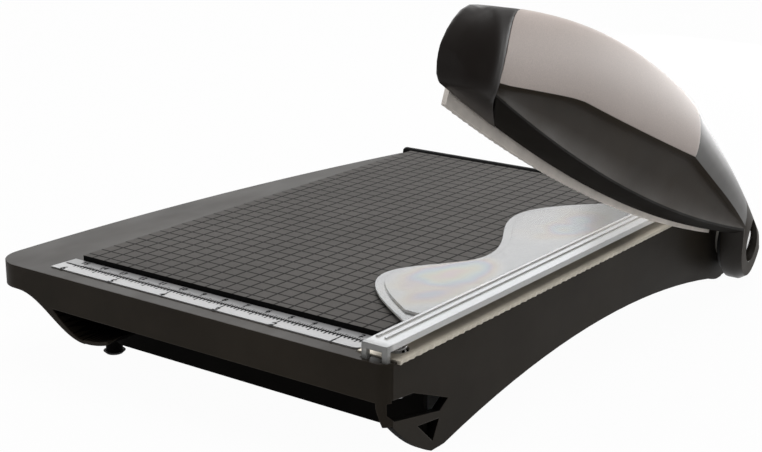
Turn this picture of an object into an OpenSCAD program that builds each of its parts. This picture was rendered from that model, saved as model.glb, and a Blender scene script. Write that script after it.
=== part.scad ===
// Deckle edge paper trimmer: a base with a fixed wavy blade, a clear guard that is pressed down on the
// paper, and a swinging arm with the matching blade. Millimetres, Z up, the table is Z = 0.
// Inside the file u is measured outwards from the cut line, v backwards from the front face, and on the
// arm s runs from the pivot towards the grip and t square to it.

/* [Base moulding] */
// Cut line to the furthest point of the left edge
deck_reach = 186.8; // [170:0.2:220]
// Front face to back edge of the deck
deck_depth = 242; // [230:1:270]
// Deck top above the table
deck_h = 38.6; // [36:0.2:44]
// Wall thickness of the moulding
skin = 3; // [2.4:0.1:4]
// Radius of the bowed left edge
left_edge_r = 1020; // [900:10:1400]
// Where the left edge bows out furthest, behind the front face
left_edge_v = 19.3; // [10:0.1:40]
// Front left corner radius in plan
front_corner_r = 13; // [9:0.5:16]
// Rear left corner radius in plan
rear_corner_r = 8; // [4:0.5:12]
// Front right corner radius in plan
right_corner_r = 4.4; // [4.2:0.1:6]
// Height of the front and back aprons
apron_h = 13.2; // [11:0.1:16]
// Height of the lip along the left edge
lip_h = 9.1; // [7:0.1:10.5]
// Gap between the right wall and the cut line
wall_inset = 1; // [0.9:0.1:2]

/* [Flank and plinth] */
// Left edge to where the underside starts to curve down
flank_start = 14.4; // [10:0.2:18]
// Left edge to the inner tip of the flank
flank_end = 49.4; // [44:0.2:56]
// Lowest point of the flank above the table
flank_tip_h = 15.3; // [12:0.1:18]
// Thickness of the flank where it leaves the deck
flank_root_t = 9; // [7:0.1:11]
// Thickness of the flank at its tip
flank_tip_t = 1; // [0.8:0.1:2]
// Left edge to the plinth wall under the deck
plinth_inset = 33; // [28:0.5:36]
// Front face to the plinth wall
plinth_setback = 24.4; // [22:0.2:28]
// Plinth edge above the table
plinth_clear = 6.1; // [4:0.1:8]
// Plinth corner radius
plinth_r = 12; // [8:0.5:16]
// Depth of the stiffening ribs below the deck
rib_h = 9; // [6:0.5:12]
// Diameter of the foot posts
post_d = 6.6; // [6:0.1:9]

/* [Right wall] */
// Rise of the arch between the two right feet
arch_rise = 12.3; // [8:0.1:14]
// Front face to the start of the arch
arch_start = 33; // [32:1:40]
// Height at which the wall's front edge starts to slant back
corner_cut_h = 18; // [16:0.1:20]
// Front face to the toe of the right front foot
toe_v = 25.5; // [24:0.1:27]

/* [Feet] */
// Height of the rubber pads
foot_h = 1; // [0.8:0.1:1.6]
// Diameter of the rubber pads
foot_d = 8.6; // [7.6:0.1:9.4]
// Diameter of the stem that holds a pad in its post
foot_stem_d = 3.6; // [3:0.1:4.4]

/* [Mat, ruler and fence] */
// Width of the mat, left of the bed blade
mat_w = 139.6; // [120:0.2:150]
// Height of the mat above the deck
mat_t = 2.4; // [1.6:0.1:3.2]
// Front face to the front edge of the mat
mat_front = 19.2; // [18:0.1:22]
// Width of the ruler strip across
ruler_w = 12; // [9:0.1:13]
// Length of the ruler strip at its front edge
ruler_len = 144; // [120:1:148]
// Slant of the ruler's left end
ruler_slant = 0.5; // [0:0.5:6]
// Thickness of the ruler strip
ruler_t = 0.4; // [0.3:0.05:0.8]
// Depth of the fence bar, front to back
fence_w = 4.2; // [3:0.1:5]
// Height of the fence bar above the deck
fence_h = 3.3; // [3:0.1:5]
// Gap between parts that lie side by side
side_gap = 0.3; // [0.2:0.05:0.5]

/* [Blades] */
// Width of the bed blade, from the cut line inwards
bed_w = 16.6; // [15.4:0.1:20]
// Thickness of the bed blade
bed_t = 1.2; // [1:0.1:2]
// How far the bed blade stands above the deck
bed_proud = 0.4; // [0.2:0.05:0.8]
// Front face to the front end of the bed blade
bed_front = 5.6; // [5.4:0.1:8]
// Height of the waves in the deckle edge, each way
deckle_amp = 0.35; // [0.2:0.05:0.45]
// Pitch of the waves in the deckle edge
deckle_pitch = 3.6; // [3.2:0.1:5]
// Clearance between the two blades
blade_gap = 0.35; // [0.3:0.01:0.45]
// Thickness of the moving blade
blade_t = 1.4; // [1.2:0.05:1.8]
// Height of the band along the edge of the moving blade, wavy on the cutting side
blade_band = 6; // [5.4:0.1:7]
// Height of the moving blade above its edge
blade_h = 16; // [15:0.2:18]
// How far the blade's edge hangs below the arm at the front
blade_drop = 3.5; // [2.5:0.1:4.5]
// Bow of the blade's edge
blade_belly = 6.7; // [5:0.1:8]
// Diameter of the small screws
screw_d = 3; // [2.5:0.1:3.2]
// Length of the bed screws
bed_screw_len = 8.4; // [7:0.1:9.4]
// Length of the liner screws
liner_screw_len = 6; // [5:0.1:7]

/* [Guard] */
// Width of the guard's bar
bar_w = 10; // [9.8:0.1:11]
// Thickness of the guard's bar
bar_t = 2.1; // [1.6:0.1:3]
// Cut line to the bar
bar_inset = 2.6; // [2.2:0.1:3.4]
// Gap left between the thumb plate and the mat when the guard is pressed down
press_gap = 0.2; // [0.1:0.05:0.6]
// Front face to the front end of the bar
bar_front = 2.3; // [1.8:0.1:3]
// Gap between the back end of the bar and the bed blade's end
bar_gap = 4.7; // [3:0.1:8]
// Reach of the front thumb lobe beyond the bar
front_lobe = 36.8; // [20:0.2:40]
// Reach of the rear thumb lobe beyond the bar
rear_lobe = 38.8; // [20:0.2:40]
// Reach of the waist between the lobes
waist = 18.4; // [8:0.2:19]
// Thickness of the thumb plate
plate_t = 1.6; // [1.2:0.1:2.1]
// Width of the bevel round the thumb plate
plate_bevel = 3.4; // [2:0.1:4.5]
// Distance that the guard can be pressed down
press_travel = 1; // [0.6:0.05:1.6]
// Diameter of the guard's two guide posts
guide_d = 4; // [3.4:0.1:4.6]
// Running clearance of the guide posts and the pivot, on the radius
run_gap = 0.06; // [0.04:0.01:0.1]
// Mean radius of the guard springs
spring_r = 3.3; // [3.1:0.05:3.5]
// Wire of the guard springs
wire_d = 0.7; // [0.5:0.05:0.9]
// Turns of each guard spring
spring_turns = 5; // [3:1:6]

/* [Arm] */
// Rise of the arm as it stands open on the table
arm_rise = 22.8; // [21:0.1:26]
// Distance of the pivot behind the back edge of the deck
pivot_back = 16; // [14:0.2:20]
// Pivot above the table
pivot_h = 20; // [19.6:0.1:21]
// How far the grip reaches in front of the front face when the arm lies flat
grip_reach = 5.2; // [0:0.1:8]
// Radius of the arm's tail round the pivot
tail_r = 17.5; // [17:0.1:18.4]
// Highest point of the arm's top edge, above the pivot's line
arm_top = 45.2; // [41:0.1:50]
// Height of the top edge at the grip end
front_top = 30.5; // [27:0.1:34]
// Height of the arm's spine straight above the pivot
spine_h = 12; // [11.6:0.1:13]
// Rise of the spine per millimetre from the pivot towards the grip
spine_rise = 0.303; // [0.28:0.001:0.32]
// Height of the lower edge at the grip end
front_bottom = 3; // [1:0.1:4]
// Bow of the arm's lower edge
arm_belly = 7.2; // [6:0.1:8.5]
// Thickness of the arm moulding
shell_t = 12.8; // [11:0.1:15]
// Thickness of the moulding at the tail
tail_t = 5; // [4:0.1:6]
// Length over which the tail swells to the full thickness
tail_swell = 76; // [60:1:100]
// Depth of the leaf panel in the outer face
leaf_depth = 1.2; // [0.6:0.1:1.6]
// Thickness of the grip pad
pad_t = 1.8; // [1.2:0.1:2.4]
// Length of the black grip end along the top
grip_end_len = 26.5; // [22:0.5:30]
// Slant of the seam between the pad and the grip end, along the arm per millimetre across it
seam_slant = 1.75; // [1.2:0.05:1.8]
// Curve of the seam, seen from the side
seam_bulge = 8.6; // [0:0.2:10]
// Rounding length at the very front of the grip end
nose_len = 9; // [7:0.5:14]
// Thickness of the steel carrier and of the liner above it
carrier_t = 2.5; // [2:0.1:3]
// Height of the carrier bar above the arm's lower edge
carrier_h = 15; // [14:0.2:18]

/* [Pivot] */
// Diameter of the pivot bolt
bolt_d = 8; // [7:0.1:8.4]
// Diameter of the bolt's head
head_d = 15.6; // [14.4:0.1:16.4]
// Diameter of the hole in the arm's tail round the bolt head
tail_hole_d = 19; // [18.2:0.1:20]
// Length of the pivot lug along the bolt
lug_len = 15; // [12:0.5:18]
// Wall of the pivot bush
bush_wall = 1.9; // [1.5:0.1:2.2]
// Diameter of the stop pin
pin_d = 3; // [2.6:0.1:3.2]
// Distance of the stop pin from the pivot
pin_r = 11.6; // [11.4:0.1:11.8]
// Swing from the rest pose down to the closed stop, in degrees
swing_down = 20.5; // [19.6:0.1:21]
// Swing from the rest pose up to the open stop, in degrees
swing_up = 40; // [20:1:48]

/* [Hidden] */
$fn = 64;
e = 0.01;

// Frame: the part is centred over its footprint
lug_r = deck_h - pivot_h;
pivot_v = deck_depth + pivot_back;
u_carrier = blade_gap + blade_t + deckle_amp + 0.2;
u_shell = u_carrier + carrier_t;
u_face = u_shell + shell_t;
arm_reach = u_face + pad_t;
x_cut = (deck_reach - arm_reach) / 2;
y_front = -(pivot_v + max(lug_r, tail_r)) / 2;
y_pivot = y_front + pivot_v;

// Levels
under_deck = deck_h - skin;
apron_z = deck_h - apron_h;
lip_z = deck_h - lip_h;
mat_z = deck_h + mat_t;
bed_z = deck_h + bed_proud;

// Plan of the base
left_c = [left_edge_r - deck_reach, left_edge_v];
u_wall = -wall_inset;
rim_back = deck_depth - skin;
plinth_back = deck_depth - 10;
plinth_t = 2.4;
fence_v = deck_depth - 6.7;
mat_right = -bed_w - side_gap;
bed_back = fence_v - side_gap;

function left_u(v, inset) = left_c[0] - sqrt(pow(left_edge_r - inset, 2) - pow(v - left_c[1], 2));

// Feet, as [u, v]
right_foot_u = u_wall - foot_d / 2 - 0.1;
front_foot_v = plinth_setback + 7.6;
foot_inset = plinth_inset + 1.8;
boss_h = 8;
feet = [[left_u(plinth_setback, foot_inset), plinth_setback + 4.2],
        [left_u(plinth_back, foot_inset), plinth_back - 4.2],
        [right_foot_u, front_foot_v], [right_foot_u, pivot_v - 1.2]];

// Guard
u_bar = -bar_inset - bar_w;
plate_z = mat_z + press_travel + press_gap;
bar_z = plate_z - 0.3;
guide_u = -bar_inset - bar_w / 2;
bar_len = bed_back - bar_gap - bar_front;
guides = [bar_front + 11.7, bar_front + bar_len - 9];
guide_sleeve_h = 14;
pocket_r = spring_r + wire_d / 2 + 0.8;
pocket_z = deck_h - 7;
sleeve_r = pocket_r + 1.8;
sleeve_z = deck_h - guide_sleeve_h;
leg_h = 1.2;
leg_w = 2;
slot_h = leg_h + press_travel + 0.4;
legs = [u_bar, u_bar + bar_w - leg_w];

// Arm
arm_len = pivot_v + grip_reach;
grip_s = arm_len - grip_end_len;
pad_s0 = 94;
pad_s1 = grip_s;
blade_s0 = 26;
blade_s1 = arm_len - 11;
crown_s = 0.58 * arm_len;
crown_drop = (arm_top - front_top) / pow(arm_len - 5 - crown_s, 2);
seam_u = u_shell + 0.45 * shell_t;
function seam_lead(u) = let (x = min(1, max(0, (u - seam_u) / (arm_reach - seam_u))))
    seam_slant * (u - seam_u) + seam_bulge * (1.2 * x - x * x - 0.2);
carrier_s1 = grip_s + seam_lead(u_carrier) - 0.5;
eye_r = pin_r + pin_d / 2 + 1.8;
bush_r = bolt_d / 2 + run_gap + bush_wall;
slot_gap = 0.3;
washer_t = 1;

function bow(s, a, b, rise) = let (x = (s - (a[0] + b[0]) / 2) / ((b[0] - a[0]) / 2))
    a[1] + (b[1] - a[1]) * (s - a[0]) / (b[0] - a[0]) + rise * (1 - x * x);
function spine_line(s) = spine_h + spine_rise * s;
function top_line(s) = s < 0 ? min(spine_line(s), sqrt(max(0, tail_r * tail_r - s * s)))
    : min(spine_line(s), arm_top - crown_drop * pow(s - crown_s, 2));
function low_line(s) = bow(s, [30, -1.4], [arm_len - 14, front_bottom], -arm_belly);
function edge_line(s) = bow(s, [30, -3], [arm_len - 14, front_bottom - blade_drop], -blade_belly);
function bottom(s) = s < tail_r ? min(low_line(s), -sqrt(tail_r * tail_r - s * s)) : low_line(s);

// Height at which the outer face turns over into the rounded top
leaf_s = 0.725 * arm_len;
leaf_h = 17.2;
leaf_soft = 0.02;
function leaf_fall(x) = 1.15 * (sqrt(x * x + leaf_soft) - sqrt(leaf_soft));
function leaf_line(s) = s > leaf_s ? leaf_h - 8.4 * leaf_fall((s - leaf_s) / 60)
    : s > pad_s0 ? leaf_h + 2 * pow((leaf_s - s) / (leaf_s - pad_s0), 1.6)
    : leaf_h + 2 - 15.7 * (pad_s0 - s) / (pad_s0 - tail_r);
function face_u(s) = u_shell + tail_t
    + (shell_t - tail_t) * sin(90 * min(1, max(0, (s + tail_r) / tail_swell)));

// Deckle waves, by distance from the pivot so that both edges agree as the blade comes down
deckle_start = 60;
deckle_fade = 60;
deckle_step = deckle_pitch / 4;
function deckle(r) = deckle_amp * min(1, max(0, (r - deckle_start) / deckle_fade))
    * (0.62 * sin(360 * r / deckle_pitch) + 0.38 * sin(222 * r / deckle_pitch));
function bed_edge(v) = deckle(norm([pivot_v - v, bed_z - pivot_h]));
function blade_edge(s) = blade_gap + deckle(norm([s, edge_line(s)]));

blade_holes = [for (i = [0:4]) 62 + i * (carrier_s1 - 72) / 4];
liner_holes = [for (i = [0:3]) 92 + i * (carrier_s1 - 106) / 3];
bed_holes = [for (i = [0:4]) 32 + i * (bed_back - 60) / 4];

// Placing helpers
module plan_slab(z0, z1) {
    translate([x_cut, y_front, z0]) linear_extrude(z1 - z0) children();
}
module side_slab(u0, u1) {
    translate([x_cut + u0, y_front, 0]) rotate([90, 0, 90]) linear_extrude(u1 - u0) children();
}
module front_slab(v0, v1) {
    translate([x_cut, y_front + v1, 0]) rotate([90, 0, 0]) linear_extrude(v1 - v0) children();
}
module upright(u, v, z) {
    translate([x_cut + u, y_front + v, z]) children();
}
module on_pivot(u) {
    translate([x_cut + u, y_pivot, pivot_h]) rotate([0, 90, 0]) children();
}
module in_arm() {
    translate([x_cut, y_pivot, pivot_h]) rotate([-arm_rise, 0, 0]) children();
}
module arm_slab(u0, u1) {
    in_arm() translate([u1, 0, 0]) rotate([90, 0, -90]) linear_extrude(u1 - u0) children();
}
module arm_hole(u, s, t) {
    in_arm() translate([u, -s, t]) rotate([0, 90, 0]) children();
}

function arc_points(c, r, a0, a1, n) = [for (i = [0:n]) c + r * [cos(a0 + (a1 - a0) * i / n),
                                                              sin(a0 + (a1 - a0) * i / n)]];

// Plan outline bounded by the bowed left edge, moved in by inset
module plan(inset, v0, v1, u1, rf, rr, rc) {
    r = left_edge_r - inset;
    cf = [left_c[0] - sqrt(pow(r - rf, 2) - pow(v0 + rf - left_c[1], 2)), v0 + rf];
    cr = [left_c[0] - sqrt(pow(r - rr, 2) - pow(v1 - rr - left_c[1], 2)), v1 - rr];
    af = 180 + asin((left_c[1] - v0 - rf) / (r - rf));
    ar = 180 - asin((v1 - rr - left_c[1]) / (r - rr));
    polygon(concat(
        arc_points(cr, rr, 90, ar, 8),
        arc_points(left_c, r, ar + (af - ar) / 20, af - (af - ar) / 20, 18),
        arc_points(cf, rf, af, 270, 10),
        rc > 0 ? arc_points([u1 - rc, v0 + rc], rc, 270, 360, 8) : [[u1, v0]],
        [[u1, v1]]));
}
module deck_plan(inset) {
    plan(inset, inset, deck_depth - inset, u_wall - inset, front_corner_r - inset,
         max(1, rear_corner_r - inset), right_corner_r - inset);
}

// Underside of the flank: level under the lip, then a half wave down to the tip
flank_steps = 14;
function flank_in(i) = flank_start + (flank_end - flank_start) * i / flank_steps;
function flank_z(i) = lip_z - (lip_z - flank_tip_h) * (1 - cos(180 * i / flank_steps)) / 2;
function flank_top(i) = min(deck_h - skin / 2, flank_z(i) + flank_tip_t
                            + (flank_root_t - flank_tip_t) * pow(1 - i / flank_steps, 1.5));

module flank() {
    low = [for (i = [0:flank_steps]) [left_edge_r - flank_in(i), flank_z(i)]];
    high = [for (i = [flank_steps:-1:0]) [left_edge_r - flank_in(i), flank_top(i)]];
    outer_r = left_edge_r - skin / 2;
    intersection() {
        upright(left_c[0], left_c[1], 0) rotate([0, 0, 164]) rotate_extrude(angle = 19, $fn = 720)
            polygon(concat([[outer_r, deck_h - skin / 2], [outer_r, lip_z]], low, high));
        plan_slab(0, deck_h) deck_plan(0);
    }
}

// In front of the plinth the flank curls up again into a shallow bowl
toe_reach = 12;
toe_steps = 7;
module flank_toe() {
    low = [for (i = [0:toe_steps]) let (x = i / toe_steps)
        [left_edge_r - flank_end - toe_reach * x, flank_tip_h + 0.2 + 2 * x * x]];
    high = [for (p = reversed(low)) p + [0, 1.4]];
    root = [left_edge_r - flank_end + 0.9, flank_tip_h + 0.6];
    intersection() {
        upright(left_c[0], left_c[1], 0) rotate([0, 0, 176]) rotate_extrude(angle = 7, $fn = 720)
            polygon(concat([root], low, high));
        plan_slab(0, deck_h) intersection() {
            deck_plan(0);
            translate([-deck_reach, 0]) square([deck_reach, plinth_setback + 1]);
        }
    }
}

// Apron plate that follows the flank's curve at its left end
module apron(v0) {
    u0 = left_u(v0 + skin / 2, 0);
    intersection() {
        front_slab(v0, v0 + skin)
            polygon(concat([[u_wall, deck_h - e], [u0 - 30, deck_h - e], [u0 - 30, lip_z]],
                           [for (i = [0:flank_steps]) if (flank_z(i) > apron_z)
                               [u0 + flank_in(i), flank_z(i)]],
                           [[u0 + flank_in(7), apron_z], [u_wall, apron_z]]));
        plan_slab(0, deck_h) deck_plan(0);
    }
}

// Window outlines in the right wall, above and below the strut of the front foot
module wall_windows() {
    h = corner_cut_h;
    polygon([[1.6, h + 8.4], [14.5, h + 7.2], [toe_v + 9.4, h - 1.2], [toe_v + 4.4, h - 4.2],
             [4.2, h + 0.8], [1.6, h + 3.4]]);
    polygon([[17.3, h - 5.3], [toe_v + 4.2, h - 6.8], [toe_v + 0.6, h - 13.6]]);
}

module right_wall() {
    arch_end = pivot_v - 3;
    half = (arch_end - arch_start) / 2;
    arch_r = (half * half + arch_rise * arch_rise) / (2 * arch_rise);
    strip_u = u_wall - right_corner_r - 1;
    leg_start = [right_corner_r - 1, corner_cut_h - 1];
    leg = [for (i = [0:8]) let (v = leg_start[0] + (toe_v - leg_start[0]) * i / 8)
        [v, bow(v, leg_start, [toe_v, foot_h], -1.7)]];
    difference() {
        union() {
            side_slab(u_wall - skin, u_wall) difference() {
                union() {
                    polygon(concat([[leg_start[0], deck_h - e]], leg,
                                   [[pivot_v, foot_h], [pivot_v, deck_h - e]]));
                    translate([pivot_v, pivot_h]) circle(lug_r);
                }
                translate([arch_start + half, foot_h + arch_rise - arch_r]) circle(arch_r, $fn = 720);
            }
            // The corner strip runs lower than the apron, down to the strut
            intersection() {
                plan_slab(corner_cut_h - 0.6, deck_h - e) difference() {
                    deck_plan(0);
                    deck_plan(skin);
                }
                upright(u_wall - right_corner_r, 0, 0) cube([right_corner_r, right_corner_r, deck_h]);
                front_slab(-1, right_corner_r + 1)
                    polygon([[strip_u, deck_h], [strip_u, apron_z + 1], [u_wall - 2, corner_cut_h - 1],
                             [u_wall + 1, corner_cut_h - 1], [u_wall + 1, deck_h]]);
            }
        }
        side_slab(u_wall - right_corner_r - 1, u_wall + 1) wall_windows();
    }
}

module pivot_lug() {
    side_slab(u_wall - lug_len, u_wall - e) {
        translate([pivot_v, pivot_h]) circle(lug_r);
        polygon([[plinth_back - 2, deck_h - e], [plinth_back - 2, deck_h - 14], [pivot_v, foot_h + 5],
                 [pivot_v, deck_h - e]]);
    }
}

module plinth() {
    plan_slab(plinth_clear, under_deck + e) difference() {
        plan(plinth_inset, plinth_setback, plinth_back, u_wall - skin + 0.2, plinth_r, plinth_r, 0);
        plan(plinth_inset + plinth_t, plinth_setback + plinth_t, plinth_back - plinth_t, 5,
             plinth_r - plinth_t, plinth_r - plinth_t, 0);
    }
}

module ribs() {
    rib_t = 1.8;
    span_v = plinth_back - plinth_setback;
    plan_slab(under_deck - rib_h, under_deck + e) {
        for (i = [1:3])
            translate([left_u(0, 0) + plinth_inset + i * 38, plinth_setback + 1])
                square([rib_t, span_v - 2]);
        for (i = [1:3])
            translate([left_u(deck_depth, 0) + plinth_inset, plinth_setback + i * span_v / 4])
                square([-left_u(deck_depth, 0) - plinth_inset - wall_inset - 1, rib_t]);
    }
}

module base_shell() {
    color("#232323") difference() {
        union() {
            plan_slab(under_deck, deck_h) deck_plan(0);
            plan_slab(lip_z, deck_h - e) difference() {
                deck_plan(0);
                deck_plan(skin);
            }
            flank();
            flank_toe();
            apron(0);
            apron(rim_back);
            right_wall();
            pivot_lug();
            plinth();
            ribs();
            for (f = feet)
                upright(f[0], f[1], foot_h)
                    cylinder(d = post_d, h = (f == feet[2] ? boss_h : deck_h) - foot_h - e);
            for (g = guides)
                upright(guide_u, g, sleeve_z) cylinder(r = sleeve_r, h = guide_sleeve_h - e);
            for (v = bed_holes)
                upright(-bed_w + 4, v, deck_h - 10) cylinder(d = 7, h = 10 - e);
        }
        // Seat of the bed blade
        plan_slab(bed_z - bed_t, deck_h + 1)
            translate([-bed_w - side_gap, bed_front - side_gap])
                square([bed_w + side_gap + 2, bed_back - bed_front + 2 * side_gap]);
        // Guard: slots for the front legs, spring pockets and guide bores
        for (u = legs)
            plan_slab(deck_h - slot_h, deck_h + 1)
                translate([u - 0.4, bar_front - 0.4]) square([leg_w + 0.8, 2.6]);
        for (g = guides) {
            upright(guide_u, g, pocket_z) cylinder(r = pocket_r, h = 20);
            upright(guide_u, g, 0) cylinder(r = guide_d / 2 + run_gap, h = deck_h);
        }
        for (v = bed_holes)
            upright(-bed_w + 4, v, bed_z - bed_screw_len - 0.4) cylinder(d = screw_d + 0.04, h = 20);
        // Pivot and stop pin
        on_pivot(-30) cylinder(d = bolt_d + 0.06, h = 40);
        on_pivot(u_wall - 8) translate([pin_r, 0, 0]) cylinder(d = pin_d + 0.04, h = 10);
        // Sockets for the rubber pads, and a flat underside
        for (f = feet)
            upright(f[0], f[1], 0) cylinder(d = foot_stem_d + 0.1, h = foot_h + 5);
        plan_slab(-30, foot_h) translate([-400, -100]) square([800, 600]);
    }
}

module mat() {
    color("#5f5d5a") plan_slab(deck_h, mat_z)
        translate([mat_right - mat_w, mat_front]) square([mat_w, fence_v - side_gap - mat_front]);
}

module ruler_strip() {
    u1 = mat_right;
    v1 = mat_front - side_gap;
    u0 = u1 - ruler_len;
    corner = 3;
    color("#cfcfcf") plan_slab(deck_h, deck_h + ruler_t)
        polygon(concat([[u0, v1 - ruler_w], [u0 + ruler_slant, v1], [u1, v1]],
                       arc_points([u1 - corner, v1 - ruler_w + corner], corner, 0, -90, 6)));
}

module back_fence() {
    r = fence_w / 2;
    u0 = left_u(fence_v + r, 0) + r + 1;
    u1 = mat_right - 3;
    top = deck_h + fence_h - r;
    color("#141414") difference() {
        union() {
            upright(u0, fence_v, deck_h) cube([u1 - u0, fence_w, fence_h - r]);
            upright(u0, fence_v + r, deck_h) cylinder(r = r, h = fence_h - r);
            upright(u0, fence_v + r, top) rotate([0, 90, 0]) cylinder(r = r, h = u1 - u0);
            upright(u0, fence_v + r, top) sphere(r = r);
        }
        plan_slab(deck_h - 10, deck_h) translate([u0 - 10, fence_v - 10]) square([u1 - u0 + 20, 30]);
    }
}

// Points of a wavy edge from a to b, n steps, as [place, offset]
function wave_steps(a, b) = max(2, floor((b - a) / deckle_step));
function wave_at(a, b, i) = a + (b - a) * i / wave_steps(a, b);

module bed_blade() {
    n = wave_steps(bed_front, bed_back);
    edge = [for (i = [0:n]) let (v = wave_at(bed_front, bed_back, i)) [bed_edge(v), v]];
    color("#b9b2a4") difference() {
        plan_slab(bed_z - bed_t, bed_z) polygon(concat([[-bed_w, bed_back], [-bed_w, bed_front]], edge));
        for (g = guides)
            upright(guide_u, g, 0) cylinder(r = pocket_r, h = 2 * deck_h);
        for (v = bed_holes)
            upright(-bed_w + 4, v, bed_z - bed_t - e)
                cylinder(d1 = screw_d + 0.1, d2 = 2 * screw_d + 0.1, h = bed_t + 2 * e);
    }
}

module bed_screws() {
    color("#9a9a98") for (v = bed_holes) {
        upright(-bed_w + 4, v, bed_z - bed_t) cylinder(d1 = screw_d, d2 = 2 * screw_d, h = bed_t);
        upright(-bed_w + 4, v, bed_z - bed_screw_len) cylinder(d = screw_d, h = bed_screw_len - bed_t + e);
    }
}

module rubber_feet() {
    color("#1a1a1a") for (f = feet) {
        upright(f[0], f[1], 0) cylinder(d1 = 0.76 * foot_d, d2 = foot_d, h = foot_h);
        upright(f[0], f[1], 0) cylinder(d = foot_stem_d, h = foot_h + 4.6);
    }
}

// Left outline of the thumb plate: two lobes and a waist, as half waves between named places
plate_v = [for (share = [0.107, 0.28, 0.45, 0.705, 0.928]) bar_front + share * bar_len];
plate_out = [0, front_lobe, waist, rear_lobe, 0];
plate_steps = 14;
function plate_point(i) =
    let (k = min(3, floor(i / plate_steps)), x = i / plate_steps - k, a = plate_out[k], b = plate_out[k + 1],
         mid = (1 - cos(180 * x)) / 2,
         out = k == 0 ? b * sin(90 * x) : k == 3 ? a * cos(90 * x) : a + (b - a) * mid)
    [u_bar - out, plate_v[k] + (plate_v[k + 1] - plate_v[k]) * x];
plate_n = 4 * plate_steps;
function plate_inset(i, d) =
    let (a = plate_point(max(0, i - 1)), b = plate_point(min(plate_n, i + 1)), t = (b - a) / norm(b - a))
    plate_point(i) + d * [t[1], -t[0]];

module guard() {
    z0 = plate_z;
    root = bar_w / 2;
    low = [for (i = [0:plate_n]) plate_point(i)];
    high = [for (i = [2:plate_n - 2]) plate_inset(i, plate_bevel)];
    color("#e8ecee", 0.5) difference() {
        union() {
            plan_slab(bar_z, bar_z + bar_t)
                translate([u_bar, bar_front]) square([bar_w, bar_len]);
            // Two long ridges on the bar
            for (u = [u_bar + 1.2, u_bar + 4.6])
                plan_slab(bar_z, bar_z + bar_t + 0.5)
                    translate([u, bar_front + 6]) square([0.9, bar_len - 12]);
            // Thumb plate with a bevel made in two steps
            plan_slab(z0, z0 + plate_t / 2)
                polygon(concat(low, [[u_bar + root, plate_v[4]], [u_bar + root, plate_v[0]]]));
            plan_slab(z0, z0 + plate_t)
                polygon(concat(high, [[u_bar + root, plate_v[4] - 8], [u_bar + root, plate_v[0] + 8]]));
            // Front legs over the deck's edge
            for (u = legs)
                plan_slab(deck_h - leg_h, bar_z + e) translate([u, bar_front]) square([leg_w, 1.8]);
            for (g = guides)
                upright(guide_u, g, sleeve_z) cylinder(d = guide_d, h = bar_z - sleeve_z + e);
        }
        for (g = guides)
            upright(guide_u, g, sleeve_z - e) cylinder(d = guide_d / 2 + 0.04, h = 8.4);
    }
}

module guard_screws() {
    color("#a8a8a6") for (g = guides) {
        upright(guide_u, g, sleeve_z - 1.6) cylinder(d = 1.6 * guide_d, h = 1.6);
        upright(guide_u, g, sleeve_z - 0.1) cylinder(d = guide_d / 2, h = 8);
    }
}

// Compression spring as one tube swept along a helix
spring_sides = 6;
spring_rings = 8;
spring_h = bar_z - pocket_z;
function spring_mid(i) = let (a = 360 * i / spring_rings, n = spring_turns * spring_rings)
    [spring_r * cos(a), spring_r * sin(a), wire_d / 2 + 0.05 + (spring_h - wire_d - 0.1) * i / n];
function spring_ring(i) = let (a = 360 * i / spring_rings, m = spring_mid(i))
    [for (k = [0:spring_sides - 1]) let (b = 360 * k / spring_sides)
        m + wire_d / 2 * [cos(b) * cos(a), cos(b) * sin(a), sin(b)]];
function ring_faces(m, n) = [for (i = [0:m - 2], j = [0:n - 1], k = [0, 1])
    let (a = i * n + j, b = i * n + (j + 1) % n, c = (i + 1) * n + (j + 1) % n, d = (i + 1) * n + j)
    k == 0 ? [a, b, c] : [a, c, d]];
function fan_faces(m, n) = concat([for (j = [1:n - 2]) [0, j + 1, j]],
                                  [for (j = [1:n - 2]) [(m - 1) * n, (m - 1) * n + j, (m - 1) * n + j + 1]]);
function flat_list(l) = [for (a = l, b = a) b];

spring_n = spring_turns * spring_rings;
spring_least = min([for (i = [0:spring_n - spring_rings], k = [-2:2])
    let (j = i + spring_rings + k) if (j <= spring_n) norm(spring_mid(i) - spring_mid(j))]) - wire_d;
echo("least gap between the turns of a guard spring", spring_least);

module guard_spring(g) {
    color("#b8b8b8") upright(guide_u, g, pocket_z)
        polyhedron(flat_list([for (i = [0:spring_n]) spring_ring(i)]),
                   concat(ring_faces(spring_n + 1, spring_sides), fan_faces(spring_n + 1, spring_sides)));
}
module guard_spring_front() {
    guard_spring(guides[0]);
}
module guard_spring_rear() {
    guard_spring(guides[1]);
}

// Cross section of the arm at s, from the inner lower corner over the top to the outer lower corner
top_angles = [for (a = [165:-15:90]) a];
side_angles = [for (a = [75:-15:0]) a];
function arm_section(s, u0, u1, t0, t1, leaf, depth) =
    let (uc = u0 + 0.45 * (u1 - u0), h = t1 - t0, bi = min(10, 0.4 * h),
         fold = max(t0 + 0.22 * h, min(leaf, t1 - 0.25 * h)),
         bevel = min(1.8, 0.12 * h), lip = min(1.2, 0.05 * h))
    concat([[u0, t0], [u0, t1 - bi]],
           [for (a = top_angles) [uc + (uc - u0) * cos(a), t1 - bi + bi * sin(a)]],
           [for (a = side_angles) [uc + (u1 - uc) * cos(a), fold + (t1 - fold) * sin(a)]],
           [[u1 - 1.5 * depth, fold - lip], [u1 - 1.2 * depth, (fold + t0 + bevel) / 2],
            [u1 - 0.6 * depth, t0 + bevel + lip], [u1, t0 + bevel], [u1 - 0.4 * (u1 - u0), t0]]);
function as_ring(s, section) = [for (p = section) [p[0], -s, p[1]]];

module loft(rings) {
    n = len(rings[0]);
    in_arm() polyhedron(flat_list(rings), concat(ring_faces(len(rings), n), fan_faces(len(rings), n)));
}

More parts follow.
